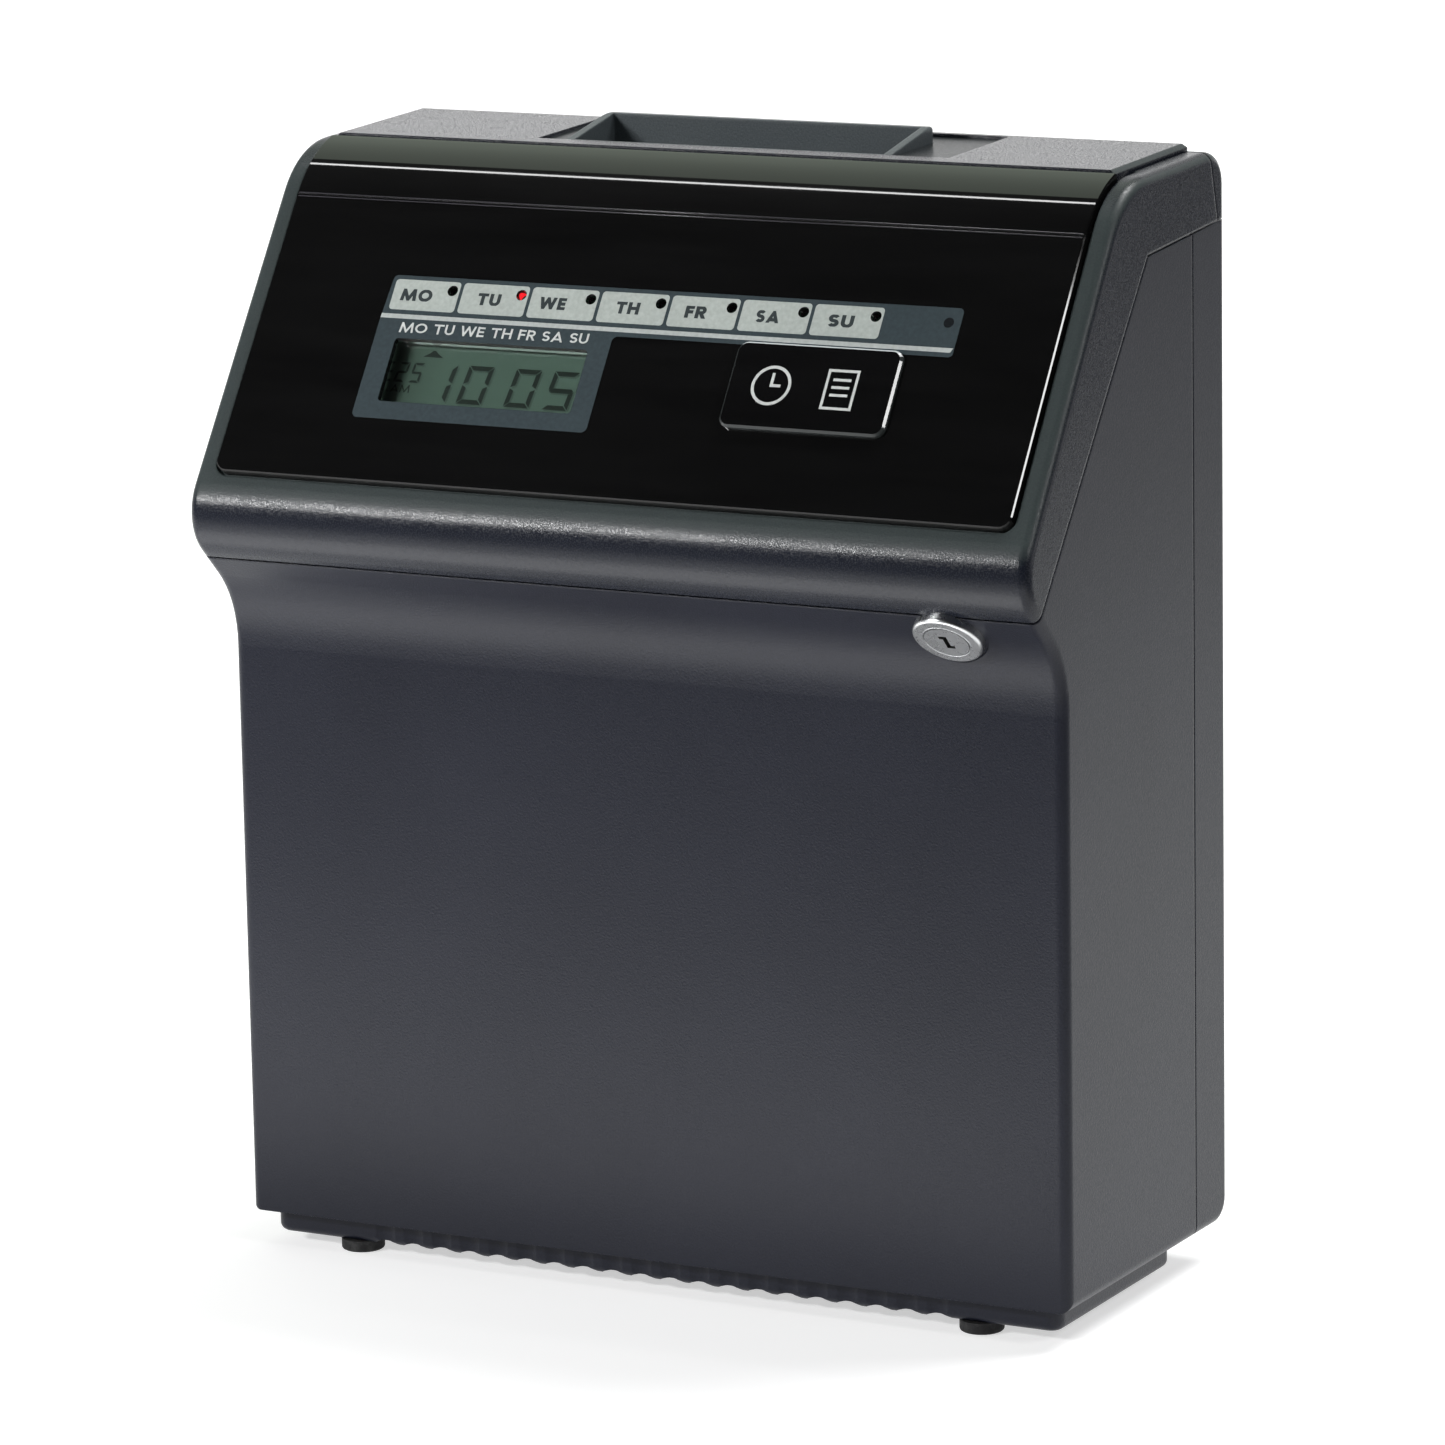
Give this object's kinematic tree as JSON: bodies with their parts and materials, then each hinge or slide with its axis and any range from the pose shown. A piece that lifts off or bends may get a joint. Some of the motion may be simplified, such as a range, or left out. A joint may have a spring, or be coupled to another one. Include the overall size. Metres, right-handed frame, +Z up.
{
  "type": "punch time clock",
  "caption": "Desk or wall time recorder: a card goes into the throat on top and is printed inside; key-locked front cover with a display window.",
  "frame": {"origin": "on the table, under the middle of the clock's box", "axes": "+X to the right of a person facing the front, +Y to the back, +Z up"},
  "size_m": [0.25, 0.124, 0.309],
  "materials": {
    "case_plastic": "fine textured moulding",
    "window_black": "polished",
    "clear_lens": "polished",
    "lamp_clear": "polished",
    "name_plate": "polished, bevelled edge",
    "nickel": "satin nickel",
    "nickel_plug": "brushed nickel",
    "zinc_steel": "zinc plated",
    "ground_steel": "ground shaft",
    "rubber": "matt",
    "roller_rubber": "ground matt",
    "black_plastic": "satin",
    "white_plastic": "satin",
    "lcd_glass": "polished",
    "circuit_board": "solder mask",
    "component": "satin",
    "lamp_red": "polished",
    "motor_steel": "satin",
    "winding": "taped",
    "battery_wrap": "shrink wrap",
    "ribbon_cloth": "inked nylon",
    "brass_gear": "machined"
  },
  "bodies": {
    "case": {"back_case": "case_plastic", "top_deck": "case_plastic", "card_throat": "case_plastic", "base_tray": "case_plastic", "rubber_feet": "rubber", "chassis_back_plate": "zinc_steel", "chassis_left_plate": "zinc_steel", "chassis_right_plate": "zinc_steel", "lock_strike": "zinc_steel", "card_guide_front": "zinc_steel", "card_guide_rear": "zinc_steel", "platen": "roller_rubber", "carriage_shafts": "ground_steel", "drive_belt": "rubber", "carriage_motor": "motor_steel", "motor_bracket": "zinc_steel", "ribbon_cassette": "black_plastic", "ribbon_tape": "ribbon_cloth", "feed_motor": "motor_steel", "display_bracket": "zinc_steel", "display_module": "black_plastic", "display_glass": "lcd_glass", "lamp_board": "circuit_board", "day_lamps": "lamp_red", "key_board": "circuit_board", "main_board": "circuit_board", "board_components": "component", "buzzer": "component", "board_screws": "zinc_steel", "backup_battery": "battery_wrap", "transformer": "winding", "power_inlet": "black_plastic"},
    "front_cover": {"lower_cover": "case_plastic", "upper_bezel": "case_plastic", "display_window": "window_black", "display_lens": "clear_lens", "lamp_windows": "lamp_clear", "name_plate": "name_plate", "cover_brackets": "zinc_steel", "cover_screws": "zinc_steel", "lock_housing": "nickel", "lock_nut": "zinc_steel"},
    "lock": {"lock_plug": "nickel_plug", "lock_cam": "zinc_steel", "cam_screw": "zinc_steel"},
    "carriage": {"carriage_block": "black_plastic", "print_head": "motor_steel"},
    "drive_pulley": {"motor_pulley": "brass_gear"},
    "idler": {"idler_pulley": "black_plastic"},
    "ribbon_drive": {"ribbon_knob": "white_plastic"},
    "feed_drive": {"feed_shaft": "ground_steel", "feed_rollers": "roller_rubber", "feed_gear": "white_plastic"},
    "pinion": {"feed_pinion": "brass_gear"},
    "pinch": {"pinch_roller": "ground_steel"},
    "key_1": {"setting_key_1": "white_plastic"},
    "key_2": {"setting_key_2": "white_plastic"},
    "key_3": {"setting_key_3": "white_plastic"}
  },
  "joints": [
    {"name": "front_cover_slide", "type": "slide", "parent": "case", "child": "front_cover", "axis": [0, -1, 0], "range_m": [0, 0.14]},
    {"name": "lock_turn", "type": "hinge", "parent": "front_cover", "child": "lock", "pos_m": [0.097, -0.04993, 0.19092], "axis": [0, 0.6947, 0.7193], "range_deg": [0, 90]},
    {"name": "carriage_slide", "type": "slide", "parent": "case", "child": "carriage", "axis": [1, 0, 0], "range_m": [-0.028, 0.028]},
    {"name": "drive_pulley_turn", "type": "hinge", "parent": "case", "child": "drive_pulley", "pos_m": [0.062, -0.008, 0.204], "axis": [0, 1, 0], "range_deg": [-275, 275]},
    {"name": "idler_turn", "type": "hinge", "parent": "case", "child": "idler", "pos_m": [-0.062, -0.008, 0.204], "axis": [0, 1, 0], "range_deg": [-275, 275]},
    {"name": "ribbon_knob_turn", "type": "hinge", "parent": "case", "child": "ribbon_drive", "pos_m": [0.04, 0.008, 0.24], "axis": [0, 0, 1], "continuous": true},
    {"name": "card_feed_turn", "type": "hinge", "parent": "case", "child": "feed_drive", "pos_m": [0, 0.0298, 0.15], "axis": [1, 0, 0], "continuous": true},
    {"name": "feed_pinion_turn", "type": "hinge", "parent": "case", "child": "pinion", "pos_m": [0.06, 0.013, 0.15], "axis": [1, 0, 0], "continuous": true},
    {"name": "pinch_roller_turn", "type": "hinge", "parent": "case", "child": "pinch", "pos_m": [0, 0.0432, 0.15], "axis": [1, 0, 0], "continuous": true},
    {"name": "key_1_press", "type": "slide", "parent": "case", "child": "key_1", "axis": [0, 0.8241, -0.5664], "range_m": [0, 0.0008], "stiffness_N_per_m": 400},
    {"name": "key_2_press", "type": "slide", "parent": "case", "child": "key_2", "axis": [0, 0.8241, -0.5664], "range_m": [0, 0.0008], "stiffness_N_per_m": 400},
    {"name": "key_3_press", "type": "slide", "parent": "case", "child": "key_3", "axis": [0, 0.8241, -0.5664], "range_m": [0, 0.0008], "stiffness_N_per_m": 400}
  ],
  "couplings": [
    {"joint": "drive_pulley_turn", "follows": "carriage_slide", "rad_per_m": -166.67},
    {"joint": "idler_turn", "follows": "carriage_slide", "rad_per_m": -166.67},
    {"joint": "feed_pinion_turn", "follows": "card_feed_turn", "ratio": -2},
    {"joint": "pinch_roller_turn", "follows": "card_feed_turn", "ratio": -1.1667}
  ]
}
